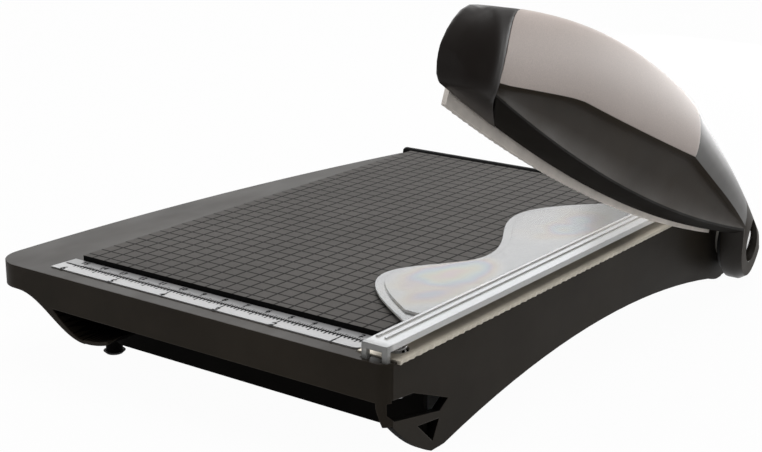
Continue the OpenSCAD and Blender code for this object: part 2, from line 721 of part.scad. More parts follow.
// Seam with the grip end: it slants towards the front on the outer side, in a slight curve
function seam_shift(u, s) = seam_lead(u) * min(1, max(0, 1 - (grip_s - s) / 60));

// The moulding steps down under the pad
shell_places = concat([for (a = [8:11:162]) -tail_r * cos(a)],
                      [for (i = [0:11]) tail_r + 2 + (pad_s0 - tail_r - 4) * i / 11],
                      [for (i = [0:22]) pad_s0 + 0.2 + (grip_s - pad_s0 - 0.2) * i / 22]);
function pad_step(s) = s > pad_s0 - 1 ? pad_t : 0;
function leaf_fade(s) = min(1, max(0, (s - 14) / 30)) * min(1, max(0, (arm_len - 13 - s) / 8));
function shell_section(s) = arm_section(s, u_shell, face_u(s), bottom(s), top_line(s) - pad_step(s),
                                        leaf_line(s), leaf_depth * leaf_fade(s));
function shell_ring(s) = let (flat = shell_section(s))
    [for (j = [0:len(flat) - 1])
        let (sj = s + seam_shift(flat[j][0], s), p = shell_section(sj)[j]) [flat[j][0], -sj, p[1]]];

module arm_shell() {
    color("#2b2a29") difference() {
        loft([for (s = shell_places) shell_ring(s)]);
        arm_hole(u_shell - 1, 0, 0) cylinder(d = tail_hole_d, h = shell_t + 4);
        for (s = liner_holes)
            arm_hole(u_shell - 1, s, liner_t(s))
                cylinder(d = screw_d + 0.04, h = liner_screw_len + 0.4);
    }
}

// Grip end: full at the inner side, rounded at the outer corner, the top and the bottom
nose_s = arm_len - nose_len;
nose_mid = front_bottom + 0.42 * (front_top - front_bottom);
function round_off(s, start) = sqrt(1 - pow(min(0.992, max(0, (s - start) / (arm_len - start))), 2));
function nose_top(s) = nose_mid + (top_line(s) - nose_mid) * round_off(s, nose_s);
function nose_bottom(s) = nose_mid - (nose_mid - bottom(s)) * round_off(s, arm_len - 0.35 * nose_len);
nose_in = u_carrier + 0.05;
function nose_out(s) = nose_in + 5 + (arm_reach - nose_in - 5) * round_off(s, nose_s + 1.5);
function corner(c, r, a0, a1, n) = [for (i = [0:n]) let (a = a0 + (a1 - a0) * i / n)
    c + [r[0] * cos(a), r[1] * sin(a)]];
function end_section(s) =
    let (u0 = nose_in, u1 = nose_out(s), t0 = nose_bottom(s), t1 = nose_top(s), h = t1 - t0,
         uc = u0 + 0.48 * (u1 - u0), fold = t0 + 0.22 * h, ri = min(2.5, 0.12 * h), ro = min(4, 0.2 * h),
         rl = min(2, 0.1 * h), wi = min(2.5, 0.3 * (u1 - u0)))
    concat(corner([u0 + wi, t1 - ri], [wi, ri], 180, 90, 5),
           corner([uc, fold], [u1 - uc, t1 - fold], 85, 0, 7),
           corner([u1 - ro, t0 + ro], [ro, ro], -10, -90, 4),
           corner([u0 + rl, t0 + rl], [rl, rl], -90, -180, 3));
end_steps = 12;
function end_ring(k) =
    let (x = sin(90 * k / end_steps), full = end_section(grip_s),
         s = grip_s + 0.3 + (arm_len - 0.3 - grip_s) * x)
    [for (j = [0:len(full) - 1])
        let (sj = s + (1 - x) * seam_lead(full[j][0]), p = end_section(sj)[j])
        [p[0], -sj, p[1]]];

module grip_end() {
    color("#161616") loft([for (k = [0:end_steps]) end_ring(k)]);
}

// Pad: a band over the rounded top of the moulding, thinner towards its free edges
pad_angles = [0, 3, 6, 10, 16, 25, 35, 45, 55, 65, 75, 85, 90];
pad_inner_angles = [100, 108, 116, 124];
pad_all = concat(pad_angles, pad_inner_angles);
pad_n = len(pad_all);
pad_gap = 0.05;
function ease(x) = let (y = 1 - min(1, max(0, x))) 0.3 + 0.7 * sqrt(1 - y * y);
function pad_d(s, a) = pad_t * ease((s - pad_s0) / 3.5) * ease(a / 28) * ease((128 - a) / 12);
function pad_line(s, outer) =
    let (u0 = u_shell, u1 = face_u(s), uc = u0 + 0.45 * (u1 - u0), t0 = bottom(s), t1 = top_line(s) - pad_t,
         h = t1 - t0, bi = min(10, 0.4 * h), fold = max(t0 + 0.22 * h, min(leaf_line(s), t1 - 0.25 * h)))
    [for (a = pad_all) let (d = outer ? pad_d(s, a) : pad_gap)
        a > 90 ? [uc + (uc - u0 + d) * cos(a), t1 - bi + (bi + d) * sin(a)]
               : [uc + (u1 - uc + d) * cos(a), fold + (t1 - fold + d) * sin(a)]];
function pad_ring_line(s, outer) = let (flat = pad_line(s, outer))
    [for (j = [0:pad_n - 1])
        let (sj = s + seam_shift(flat[j][0], s), p = pad_line(sj, outer)[j]) [flat[j][0], -sj, p[1]]];
function reversed(l) = [for (i = [len(l) - 1:-1:0]) l[i]];
pad_first = pad_s0 + 0.3;
pad_places = concat([for (x = [0, 0.4, 1, 2]) pad_first + x],
                    [for (i = [0:24]) pad_first + 3.5 + (pad_s1 - pad_gap - pad_first - 3.5) * i / 24]);
module grip_pad() {
    m = len(pad_places);
    n = 2 * pad_n;
    rings = [for (s = pad_places) concat(pad_ring_line(s, true), reversed(pad_ring_line(s, false)))];
    caps = [for (j = [0:pad_n - 2], k = [0, 1]) let (a = j, b = j + 1, c = n - 2 - j, d = n - 1 - j)
        k == 0 ? [a, c, b] : [a, d, c]];
    color("#bdb2ab") in_arm() polyhedron(flat_list(rings),
        concat(ring_faces(m, n), caps, [for (f = caps) [for (i = [2:-1:0]) f[i] + (m - 1) * n]]));
}

// Steel bar with the pivot eye, under the liner
carrier_steps = 16;
function carrier_s(i) = carrier_s1 * i / carrier_steps;
function carrier_low(s) = bottom(max(s, tail_r)) + 1;
function carrier_top(s) = carrier_low(s) + carrier_h - 1;
function liner_low(s) = carrier_top(s) + side_gap;
function liner_top(s) = top_line(s) - pad_t - 10.2;
function liner_t(s) = (carrier_top(s) + liner_top(s)) / 2;
module stop_slot() {
    rest = -90 - arm_rise;
    lo = rest - swing_up;
    hi = rest + swing_down;
    r = pin_d / 2 + slot_gap;
    polygon(concat(arc_points([0, 0], pin_r + r, lo, hi, 14),
                   arc_points(pin_r * [cos(hi), sin(hi)], r, hi + 20, hi + 160, 7),
                   arc_points([0, 0], pin_r - r, hi, lo, 12),
                   arc_points(pin_r * [cos(lo), sin(lo)], r, lo + 200, lo + 340, 7)));
}
module blade_carrier() {
    color("#8d8f91") difference() {
        arm_slab(u_carrier, u_shell) difference() {
            union() {
                intersection() {
                    circle(eye_r);
                    polygon([[-30, -30], [30, -30], [30, spine_line(30) - 1.4],
                             [-30, spine_line(-30) - 1.4]]);
                }
                polygon(concat([for (i = [0:carrier_steps]) [carrier_s(i), carrier_low(carrier_s(i))]],
                               [for (i = [carrier_steps:-1:0]) [carrier_s(i), carrier_top(carrier_s(i))]]));
            }
            stop_slot();
        }
        arm_hole(u_carrier - 1, 0, 0) cylinder(r = bush_r + 0.02, h = carrier_t + 2);
        for (s = blade_holes)
            arm_hole(u_carrier - 1, s, blade_screw_t(s)) cylinder(d = screw_d + 0.04, h = carrier_t + 2);
    }
}

liner_s0 = 0.6 * pad_s0;
liner_steps = 16;
function liner_s(i) = liner_s0 + (carrier_s1 - liner_s0) * i / liner_steps;
module arm_liner() {
    low = [for (i = [0:liner_steps]) [liner_s(i), liner_low(liner_s(i))]];
    high = [for (i = [liner_steps:-1:0]) let (s = liner_s(i)) [s, max(liner_low(s) + 0.4, liner_top(s))]];
    color("#262626") difference() {
        arm_slab(u_carrier, u_shell) polygon(concat(low, high));
        for (s = liner_holes)
            arm_hole(u_carrier - 1, s, liner_t(s)) cylinder(d = screw_d + 0.04, h = carrier_t + 2);
    }
}

function blade_screw_t(s) = edge_line(s) + blade_band + 5;
module deckle_blade() {
    n = wave_steps(blade_s0, blade_s1);
    wave = [for (i = [0:n]) let (s = wave_at(blade_s0, blade_s1, i)) [blade_edge(s), -s]];
    flat_u = blade_gap + deckle_amp + 0.1;
    band = concat(wave, [[u_carrier, -blade_s1], [u_carrier, -blade_s0]]);
    low = [for (i = [0:20]) blade_s0 + (blade_s1 - blade_s0) * i / 20];
    flat_low = [for (i = [0:20]) blade_s0 + (carrier_s1 - blade_s0) * i / 20];
    color("#c9cac8") difference() {
        union() {
            intersection() {
                in_arm() translate([0, 0, -30]) linear_extrude(60) polygon(band);
                arm_slab(-5, 5) polygon(concat([for (s = low) [s, edge_line(s)]],
                                               [for (s = reversed(low)) [s, edge_line(s) + blade_band]]));
            }
            arm_slab(flat_u, u_carrier)
                polygon(concat([for (s = flat_low) [s, edge_line(s) + blade_band - 1]],
                               [for (s = reversed(flat_low)) [s, edge_line(s) + blade_h]]));
        }
        for (s = blade_holes)
            arm_hole(flat_u - e, s, blade_screw_t(s))
                cylinder(d1 = 1.8 * screw_d + 0.1, d2 = screw_d + 0.1, h = u_carrier - flat_u + 2 * e);
    }
}

module blade_screws() {
    flat_u = blade_gap + deckle_amp + 0.1;
    color("#a4a4a2") for (s = blade_holes) {
        arm_hole(flat_u, s, blade_screw_t(s))
            cylinder(d1 = 1.8 * screw_d, d2 = screw_d, h = u_carrier - flat_u);
        arm_hole(u_carrier - 0.2, s, blade_screw_t(s)) cylinder(d = screw_d, h = carrier_t + 0.2);
    }
}

module liner_screws() {
    color("#a4a4a2") for (s = liner_holes) {
        arm_hole(u_carrier - 1.2, s, liner_t(s)) cylinder(d = 2 * screw_d, h = 1.2);
        arm_hole(u_carrier - 0.2, s, liner_t(s)) cylinder(d = screw_d, h = carrier_t + liner_screw_len - 0.8);
    }
}

module pivot_bush() {
    color("#b08d57") difference() {
        on_pivot(u_carrier) cylinder(r = bush_r, h = carrier_t);
        on_pivot(u_carrier - 1) cylinder(r = bolt_d / 2 + run_gap, h = carrier_t + 2);
    }
}

nut_t = 6.5;
module pivot_bolt() {
    head_u = u_shell + washer_t;
    head_h = 3.4;
    inner_u = u_wall - lug_len - nut_t - 1;
    color("#d8d8d6") {
        on_pivot(inner_u) cylinder(d = bolt_d, h = head_u - inner_u + e);
        on_pivot(head_u) cylinder(d = head_d, h = head_h - 1.2);
        on_pivot(head_u + head_h - 1.2 - e) cylinder(d1 = head_d, d2 = head_d - 4, h = 1.2);
    }
}
module head_washer() {
    color("#c4c4c2") difference() {
        on_pivot(u_shell) cylinder(d = head_d + 1, h = washer_t);
        on_pivot(u_shell - 1) cylinder(d = bolt_d + 0.1, h = washer_t + 2);
    }
}
module thrust_washer() {
    color("#d9d6cc") difference() {
        on_pivot(u_wall) cylinder(r = pin_r - pin_d / 2 - 0.9, h = washer_t);
        on_pivot(u_wall - 1) cylinder(d = bolt_d + 0.1, h = washer_t + 2);
    }
}
// Dished spring washer that gives the pivot its friction
module disc_spring() {
    u0 = u_wall + washer_t;
    r0 = bolt_d / 2 + 0.1;
    r1 = pin_r - pin_d / 2 - 0.9;
    t = 0.9;
    color("#8a8c8e") on_pivot(u0) rotate_extrude()
        polygon([[r1 - 0.4, 0], [r1, 0], [r1, 0.4], [r0 + 0.5, u_carrier - u0], [r0, u_carrier - u0],
                 [r0, u_carrier - u0 - t]]);
}
module pivot_nut() {
    color("#b4b4b2") difference() {
        on_pivot(u_wall - lug_len - nut_t) cylinder(d = 15, h = nut_t, $fn = 6);
        on_pivot(u_wall - lug_len - nut_t - 1) cylinder(d = bolt_d + 0.06, h = nut_t + 2);
    }
}
module stop_pin() {
    inner_u = u_wall - 7.6;
    color("#9c9c9a") on_pivot(inner_u) translate([pin_r, 0, 0])
        cylinder(d = pin_d, h = u_shell - 0.4 - inner_u);
}

base_shell();
mat();
ruler_strip();
back_fence();
bed_blade();
bed_screws();
rubber_feet();
guard();
guard_screws();
guard_spring_front();
guard_spring_rear();
arm_shell();
grip_end();
grip_pad();
blade_carrier();
arm_liner();
deckle_blade();
blade_screws();
liner_screws();
pivot_bush();
pivot_bolt();
head_washer();
disc_spring();
thrust_washer();
pivot_nut();
stop_pin();
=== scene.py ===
import math

import bmesh
import bpy
from mathutils import Matrix, Vector


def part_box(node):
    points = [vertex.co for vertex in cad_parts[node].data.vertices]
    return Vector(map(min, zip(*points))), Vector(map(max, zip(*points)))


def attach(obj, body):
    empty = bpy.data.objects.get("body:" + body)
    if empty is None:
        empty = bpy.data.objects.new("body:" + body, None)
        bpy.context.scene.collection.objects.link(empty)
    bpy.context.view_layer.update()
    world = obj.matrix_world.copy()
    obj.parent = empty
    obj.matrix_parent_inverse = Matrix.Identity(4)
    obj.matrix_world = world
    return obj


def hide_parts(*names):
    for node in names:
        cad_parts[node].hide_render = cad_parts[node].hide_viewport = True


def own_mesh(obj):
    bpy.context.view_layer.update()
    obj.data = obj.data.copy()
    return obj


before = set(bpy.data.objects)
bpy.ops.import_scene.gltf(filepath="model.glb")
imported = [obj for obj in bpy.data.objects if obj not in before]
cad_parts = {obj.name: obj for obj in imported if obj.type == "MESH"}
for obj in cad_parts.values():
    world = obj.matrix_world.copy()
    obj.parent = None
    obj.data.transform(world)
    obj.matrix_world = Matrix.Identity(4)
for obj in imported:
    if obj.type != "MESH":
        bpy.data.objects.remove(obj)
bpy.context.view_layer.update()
MM = 0.001

# Places and sizes from the model, in millimetres in its own frame
X_CUT = 83.7
Y_FRONT = -138.3
PIVOT_Y = 119.7
PIVOT_Z = 20.0
MAT_EDGE_Z = 40.9
MAT_TOP_Z = 40.98
INCH = 25.4
GRID = INCH / 4
GRID_X0 = 8.5
GRID_Y0 = -116.0
RULE_V = 13.25
RULE_HALF = 0.5
ZERO_U = -3.0

# The guard: inner edge of its bar, the middle of its two lobes, and half sizes of their film
BAR_X = X_CUT - 12.6
LOBE_X = BAR_X - 15
LOBES_Y = (Y_FRONT + 67, Y_FRONT + 161)
FILM_X = 19.0
FILM_Y = 38.0

# The arm: its lean at rest, and places along it from the pivot
ARM_LEAN = math.radians(22.8)
TAIL_S = 20.0
PAD_S = 94.0
LEAF_S = 190.8
LEAF_H = 17.2
LOW_MID_S = 139.6
LOW_HALF_S = 109.6
BAND_H = 3.1

FLOOR_GLOW = 0.97


# Node helpers

def add(nt, kind, **values):
    """One shader node with its sockets and properties set."""
    n = nt.nodes.new("ShaderNode" + kind)
    for key, value in values.items():
        if key.startswith("p_"):
            setattr(n, key[2:], value)
        else:
            n.inputs[key].default_value = value
    return n


def math_node(nt, op, a, b=None, clamp=False):
    """One math node; its inputs are numbers or sockets."""
    n = nt.nodes.new("ShaderNodeMath")
    n.operation = op
    n.use_clamp = clamp
    for i, v in enumerate((a, b)):
        if v is None:
            continue
        if isinstance(v, (int, float)):
            n.inputs[i].default_value = v
        else:
            nt.links.new(v, n.inputs[i])
    return n.outputs[0]


def mix_colour(nt, fac, a, b):
    """Colour a, turned into b by the factor."""
    n = nt.nodes.new("ShaderNodeMix")
    n.data_type = "RGBA"
    for socket, v in ((n.inputs["Factor"], fac), (n.inputs["A"], a), (n.inputs["B"], b)):
        if isinstance(v, (int, float)):
            socket.default_value = v
        elif isinstance(v, tuple):
            socket.default_value = (*v, 1.0)
        else:
            nt.links.new(v, socket)
    return n.outputs["Result"]


def place(nt):
    """The position in the object's own frame, in metres."""
    return nt.nodes.new("ShaderNodeTexCoord").outputs["Object"]


def noise(nt, scale, detail=2.0, rough=0.5, stretch=None):
    """Noise in the object's own millimetres: scale is in waves per millimetre."""
    v = place(nt)
    if stretch:
        m = nt.nodes.new("ShaderNodeMapping")
        m.inputs["Scale"].default_value = stretch
        nt.links.new(v, m.inputs["Vector"])
        v = m.outputs["Vector"]
    n = add(nt, "TexNoise", Scale=scale * 1000, Detail=detail, Roughness=rough)
    nt.links.new(v, n.inputs["Vector"])
    return n.outputs["Fac"]


def span(nt, value, lo, hi, to_lo=0.0, to_hi=1.0):
    """The value mapped from one range to another, held at its ends."""
    n = nt.nodes.new("ShaderNodeMapRange")
    n.inputs["From Min"].default_value = lo
    n.inputs["From Max"].default_value = hi
    n.inputs["To Min"].default_value = to_lo
    n.inputs["To Max"].default_value = to_hi
    nt.links.new(value, n.inputs["Value"])
    return n.outputs["Result"]


def new_material(name):
    m = bpy.data.materials.new(name)
    m.use_nodes = True
    nt = m.node_tree
    return m, nt, nt.nodes["Principled BSDF"]


def edge_mask(nt, radius):
    """1 along the edges of a moulding, 0 on its faces."""
    b = add(nt, "Bevel", Radius=radius * MM, p_samples=6)
    g = nt.nodes.new("ShaderNodeNewGeometry")
    d = nt.nodes.new("ShaderNodeVectorMath")
    d.operation = "DOT_PRODUCT"
    nt.links.new(b.outputs["Normal"], d.inputs[0])
    nt.links.new(g.outputs["Normal"], d.inputs[1])
    return span(nt, d.outputs["Value"], 0.999, 0.9)


def plastic(name, colour, rough, grain=1.6, depth=0.03, soft_edge=0.5, vary=0.2, edge_lift=0.35,
            gloss=0.25):
    """Moulded plastic: fine spark-eroded grain, uneven gloss, and a little lighter colour along the
    edges.
    """
    m, nt, b = new_material(name)
    b.inputs["Specular IOR Level"].default_value = gloss
    big = noise(nt, 0.02, 4.0, 0.6)
    tint = tuple(c * (1 + vary) for c in colour)
    shade = tuple(c * (1 - vary) for c in colour)
    base = mix_colour(nt, span(nt, big, 0.3, 0.7), shade, tint)
    # the colour turns a little lighter along the edges
    lighter_edges = mix_colour(nt, math_node(nt, "MULTIPLY", edge_mask(nt, soft_edge), edge_lift), base,
                        tuple(min(1.0, c * 2.2 + 0.008) for c in colour))
    nt.links.new(lighter_edges, b.inputs["Base Color"])
    fine = noise(nt, grain, 2.0, 0.6)
    smear = noise(nt, 0.05, 3.0, 0.6, stretch=(1.0, 0.4, 1.0))
    nt.links.new(span(nt, smear, 0.3, 0.7, rough - 0.05, rough + 0.06), b.inputs["Roughness"])
    bevel = add(nt, "Bevel", Radius=soft_edge * MM, p_samples=6)
    bump = add(nt, "Bump", Strength=depth, Distance=0.0002)
    nt.links.new(fine, bump.inputs["Height"])
    nt.links.new(bevel.outputs["Normal"], bump.inputs["Normal"])
    nt.links.new(bump.outputs["Normal"], b.inputs["Normal"])
    return m


def metal(name, colour, rough, stretch, soft_edge=0.15, grain=1.2, depth=0.06, stain=0.2,
          metallic=1.0):
    """Ground or drawn steel: streaks along one direction, slight stains, and rounded edges."""
    m, nt, b = new_material(name)
    b.inputs["Metallic"].default_value = metallic
    streak = noise(nt, grain, 3.0, 0.65, stretch=stretch)
    cloud = noise(nt, 0.06, 4.0, 0.6)
    dark = tuple(c * (1 - stain) for c in colour)
    base = mix_colour(nt, span(nt, cloud, 0.35, 0.65), dark, colour)
    worn = tuple(c * 0.7 for c in colour)
    base = mix_colour(nt, span(nt, streak, 0.3, 0.7, 0.0, 0.25), base, worn)
    nt.links.new(base, b.inputs["Base Color"])
    nt.links.new(span(nt, streak, 0.3, 0.7, rough - 0.06, rough + 0.08), b.inputs["Roughness"])
    bevel = add(nt, "Bevel", Radius=soft_edge * MM, p_samples=4)
    bump = add(nt, "Bump", Strength=depth, Distance=0.0001)
    nt.links.new(streak, bump.inputs["Height"])
    nt.links.new(bevel.outputs["Normal"], bump.inputs["Normal"])
    nt.links.new(bump.outputs["Normal"], b.inputs["Normal"])
    return m


def rubber(name, colour, rough, speckle=0.1, grain=2.2, depth=0.06, soft_edge=0.4):
    """Soft-touch rubber: matte, speckled, with a fine skin."""
    m, nt, b = new_material(name)
    spots = noise(nt, grain, 3.0, 0.7)
    cloud = noise(nt, 0.03, 3.0, 0.5)
    lo = tuple(c * (1 - speckle) for c in colour)
    hi = tuple(min(1.0, c * (1 + speckle)) for c in colour)
    base = mix_colour(nt, span(nt, spots, 0.35, 0.65), lo, hi)
    dull = tuple(c * 0.86 for c in colour)
    base = mix_colour(nt, span(nt, cloud, 0.3, 0.7, 0.0, 0.35), base, dull)
    nt.links.new(base, b.inputs["Base Color"])
    nt.links.new(span(nt, spots, 0.3, 0.7, rough - 0.05, rough + 0.05), b.inputs["Roughness"])
    bevel = add(nt, "Bevel", Radius=soft_edge * MM, p_samples=4)
    bump = add(nt, "Bump", Strength=depth, Distance=0.0002)
    nt.links.new(spots, bump.inputs["Height"])
    nt.links.new(bevel.outputs["Normal"], bump.inputs["Normal"])
    nt.links.new(bump.outputs["Normal"], b.inputs["Normal"])
    b.inputs["Sheen Weight"].default_value = 0.12
    b.inputs["Specular IOR Level"].default_value = 0.3
    return m


def mat_vinyl():
    """Mat: warm grey with thin dark grid lines at the quarter inch and faint cut marks."""
    m, nt, b = new_material("mat_vinyl_grid")
    xyz = nt.nodes.new("ShaderNodeSeparateXYZ")
    nt.links.new(place(nt), xyz.inputs[0])

    def lines(axis, start):
        t = math_node(nt, "SUBTRACT", xyz.outputs[axis], start * MM)
        f = math_node(nt, "PINGPONG", math_node(nt, "DIVIDE", t, GRID * MM), 0.5)
        return span(nt, f, 0.085, 0.045)
    grid = math_node(nt, "MAXIMUM", lines("X", GRID_X0), lines("Y", GRID_Y0), clamp=True)
    top = span(nt, xyz.outputs["Z"], MAT_EDGE_Z * MM, MAT_TOP_Z * MM)
    grid = math_node(nt, "MULTIPLY", grid, top)
    cloud = noise(nt, 0.015, 4.0, 0.6)
    speck = noise(nt, 1.4, 3.0, 0.7)
    cuts = noise(nt, 0.25, 2.0, 0.4, stretch=(6.0, 0.12, 1.0))
    base = mix_colour(nt, span(nt, cloud, 0.3, 0.7), (0.086, 0.081, 0.0765), (0.112, 0.105, 0.0995))
    base = mix_colour(nt, span(nt, speck, 0.3, 0.7, 0.0, 0.35), base, (0.064, 0.06, 0.057))
    base = mix_colour(nt, span(nt, cuts, 0.7, 0.78, 0.0, 0.12), base, (0.14, 0.136, 0.13))
    base = mix_colour(nt, math_node(nt, "MULTIPLY", grid, 0.92), base, (0.005, 0.0045, 0.004))
    # below its top face the mat's sides are painted near black, painted shade along its front edge
    edge = span(nt, xyz.outputs["Z"], MAT_TOP_Z * MM, MAT_EDGE_Z * MM)
    base = mix_colour(nt, edge, base, (0.008, 0.008, 0.008))
    nt.links.new(base, b.inputs["Base Color"])
    nt.links.new(span(nt, speck, 0.3, 0.7, 0.5, 0.62), b.inputs["Roughness"])
    b.inputs["Specular IOR Level"].default_value = 0.02
    height = math_node(nt, "SUBTRACT", math_node(nt, "MULTIPLY", speck, 0.4), grid)
    bump = add(nt, "Bump", Strength=0.25, Distance=0.0001)
    nt.links.new(height, bump.inputs["Height"])
    nt.links.new(bump.outputs["Normal"], b.inputs["Normal"])
    return m


def ruler_print():
    """Printed strip: a bright outer row and a greyer inner row with a thin line between them."""
    m, nt, b = new_material("ruler_print_rows")
    xyz = nt.nodes.new("ShaderNodeSeparateXYZ")
    nt.links.new(place(nt), xyz.inputs[0])
    rule_y = Y_FRONT + RULE_V
    row = span(nt, xyz.outputs["Y"], (rule_y - 0.05) * MM, (rule_y + 0.05) * MM)
    speck = noise(nt, 0.8, 3.0, 0.7)
    base = mix_colour(nt, row, (0.47, 0.47, 0.475), (0.27, 0.27, 0.275))
    base = mix_colour(nt, span(nt, speck, 0.3, 0.7, 0.0, 0.18), base, (0.4, 0.4, 0.39))
    nt.links.new(base, b.inputs["Base Color"])
    nt.links.new(span(nt, speck, 0.3, 0.7, 0.32, 0.44), b.inputs["Roughness"])
    b.inputs["Specular IOR Level"].default_value = 0.2
    return m


def clear_guard():
    """Clear acrylic: cloudy, a pale bar, sides painted pale as painted light in shaded grooves,
    lustre film on the lobes, fine scratches.
    """
    m, nt, b = new_material("guard_acrylic")
    xyz = nt.nodes.new("ShaderNodeSeparateXYZ")
    nt.links.new(nt.nodes.new("ShaderNodeNewGeometry").outputs["Normal"], xyz.inputs[0])
    # faces that don't face up are painted pale, painted light in the shaded grooves along the bar
    side = span(nt, math_node(nt, "ABSOLUTE", xyz.outputs["Z"]), 0.8, 0.3)
    across = nt.nodes.new("ShaderNodeSeparateXYZ")
    nt.links.new(place(nt), across.inputs[0])
    bar = span(nt, across.outputs["X"], (BAR_X - 0.4) * MM, (BAR_X + 0.4) * MM, 0.0, 0.7)
    front = span(nt, across.outputs["Y"], (Y_FRONT + 3.5) * MM, (Y_FRONT + 6) * MM, 0.35, 1.0)
    # the pale mix: the bar's own pale tone, and the painted light on the side faces
    milky_bar_painted_sides = math_node(nt, "MULTIPLY", math_node(nt, "MAXIMUM", side, bar), front)
    tint = mix_colour(nt, milky_bar_painted_sides, (0.22, 0.216, 0.207), (0.82, 0.805, 0.78))
    nt.links.new(tint, b.inputs["Base Color"])
    b.inputs["IOR"].default_value = 1.49
    b.inputs["Thin Film IOR"].default_value = 1.39
    b.inputs["Specular IOR Level"].default_value = 0.17
    scratch = noise(nt, 0.5, 3.0, 0.6, stretch=(3.0, 0.15, 1.0))
    cloud = noise(nt, 0.012, 2.0, 0.5)
    haze_and_painted_sides = math_node(nt, "MULTIPLY", milky_bar_painted_sides, 0.44)
    clear = math_node(nt, "SUBTRACT", span(nt, cloud, 0.3, 0.7, 0.58, 0.48), haze_and_painted_sides)
    nt.links.new(clear, b.inputs["Transmission Weight"])
    nt.links.new(span(nt, scratch, 0.4, 0.7, 0.15, 0.2), b.inputs["Roughness"])

    def away(axis, middle, half):
        d = math_node(nt, "SUBTRACT", across.outputs[axis], middle * MM)
        d = math_node(nt, "DIVIDE", d, half * MM)
        return math_node(nt, "MULTIPLY", d, d)
    film = 0.0
    for y in LOBES_Y:
        far = math_node(nt, "ADD", away("X", LOBE_X, FILM_X), away("Y", y, FILM_Y))
        film = math_node(nt, "MAXIMUM", span(nt, far, 1.0, 0.0), film)
    patch = noise(nt, 0.03, 2.0, 0.5)
    film = math_node(nt, "MULTIPLY", film, span(nt, patch, 0.3, 0.7, 0.1, 1.0))
    nt.links.new(span(nt, film, 0.0, 1.0, 60.0, 620.0), b.inputs["Thin Film Thickness"])
    bevel = add(nt, "Bevel", Radius=0.35 * MM, p_samples=6)
    bump = add(nt, "Bump", Strength=0.003, Distance=0.0002)
    nt.links.new(scratch, bump.inputs["Height"])
    nt.links.new(bevel.outputs["Normal"], bump.inputs["Normal"])
    nt.links.new(bump.outputs["Normal"], b.inputs["Normal"])
    return m


def ink():
    m, nt, b = new_material("ruler_ink")
    worn = noise(nt, 1.5, 2.0, 0.6)
    tone = mix_colour(nt, span(nt, worn, 0.4, 0.8), (0.004, 0.004, 0.004), (0.014, 0.014, 0.014))
    nt.links.new(tone, b.inputs["Base Color"])
    b.inputs["Roughness"].default_value = 0.6
    b.inputs["Specular IOR Level"].default_value = 0.02
    return m


BASE = plastic("base_satin", (0.022, 0.0175, 0.013), 0.36, soft_edge=0.6, gloss=0.065)
# the upright sides: a lighter, less glossy copy of the base plastic, painted light
PAINTED_LIGHT_SIDE = plastic("base_side_painted_light", (0.031, 0.0255, 0.0195), 0.4, soft_edge=0.6, gloss=0.036)
# faces hidden below the deck: a near-black copy of the base plastic, painted shade
PAINTED_SHADE_INNER = plastic("base_inner_painted_shade", (0.005, 0.0045, 0.004), 0.7, edge_lift=0.0, gloss=0.02)
FENCE = plastic("fence_satin", (0.006, 0.006, 0.006), 0.45, edge_lift=0.1, gloss=0.04)
ARM = plastic("arm_satin", (0.021, 0.017, 0.013), 0.36, soft_edge=0.5, edge_lift=0.1, gloss=0.2)
GRAINED = plastic("arm_grained", (0.0265, 0.0192, 0.0122), 0.46, grain=1.2, depth=0.08, edge_lift=0.1,
                  gloss=0.035)
END = plastic("end_satin", (0.017, 0.0138, 0.0122), 0.42, grain=2.2, depth=0.06, edge_lift=0.1,
              gloss=0.09)
# the bevel along the arm's lower edge: a darker, matte copy of the arm plastic, painted shade
EDGE = plastic("arm_lower_edge_painted_shade", (0.011, 0.0095, 0.008), 0.62, edge_lift=0.0, gloss=0.015)
WASHER = plastic("washer_nylon", (0.66, 0.64, 0.58), 0.45, edge_lift=0.1, vary=0.06)
PAINT = plastic("carrier_paint", (0.02, 0.02, 0.02), 0.36, grain=0.9, depth=0.05)
PAD = rubber("pad_soft", (0.55, 0.47, 0.43), 0.5)
FOOT = rubber("foot_soft", (0.012, 0.012, 0.012), 0.75)
BED = metal("bed_ground", (0.66, 0.61, 0.52), 0.55, (0.08, 1.0, 1.0), metallic=0.6)
BLADE = metal("blade_ground", (0.86, 0.8, 0.74), 0.58, (1.0, 0.06, 0.06), metallic=0.6)
SCREW = metal("screw_plain", (0.45, 0.45, 0.45), 0.35, (1.0, 1.0, 1.0), grain=0.8)
SPRING = metal("spring_drawn", (0.52, 0.52, 0.52), 0.3, (1.0, 1.0, 0.2))
CHROME = metal("bolt_polish", (0.82, 0.82, 0.82), 0.12, (1.0, 1.0, 1.0), depth=0.02, stain=0.06)
BRONZE = metal("bush_sintered", (0.5, 0.34, 0.17), 0.45, (1.0, 1.0, 1.0), grain=2.5)

LOOKS = {
    "base_shell": BASE, "mat": mat_vinyl(), "ruler_strip": ruler_print(), "back_fence": FENCE,
    "bed_blade": BED, "bed_screws": SCREW, "rubber_feet": FOOT, "guard": clear_guard(),
    "guard_screws": SCREW,
    "arm_shell": ARM, "grip_end": END, "grip_pad": PAD, "blade_carrier": PAINT, "arm_liner": END,
    "deckle_blade": BLADE, "blade_screws": SCREW, "liner_screws": SCREW, "pivot_bush": BRONZE,
    "pivot_bolt": CHROME, "head_washer": SCREW, "disc_spring": SPRING, "thrust_washer": WASHER,
    "pivot_nut": SCREW, "stop_pin": SCREW, "guard_spring_front": SPRING,
    "guard_spring_rear": SPRING,
}
for name, look in LOOKS.items():
    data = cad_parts[name].data
    data.materials.clear()
    data.materials.append(look)


# Pieces

def piece(name, verts, faces, look, body, angle=None):
    me = bpy.data.meshes.new(name)
    me.from_pydata([Vector(v) * MM for v in verts], [], faces)
    me.update()
    me.materials.append(look)
    o = bpy.data.objects.new(name, me)
    bpy.context.scene.collection.objects.link(o)
    if angle is not None:
        me.polygons.foreach_set("use_smooth", [True] * len(me.polygons))
        me.set_sharp_from_angle(angle=math.radians(angle))
    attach(o, body)
    return o


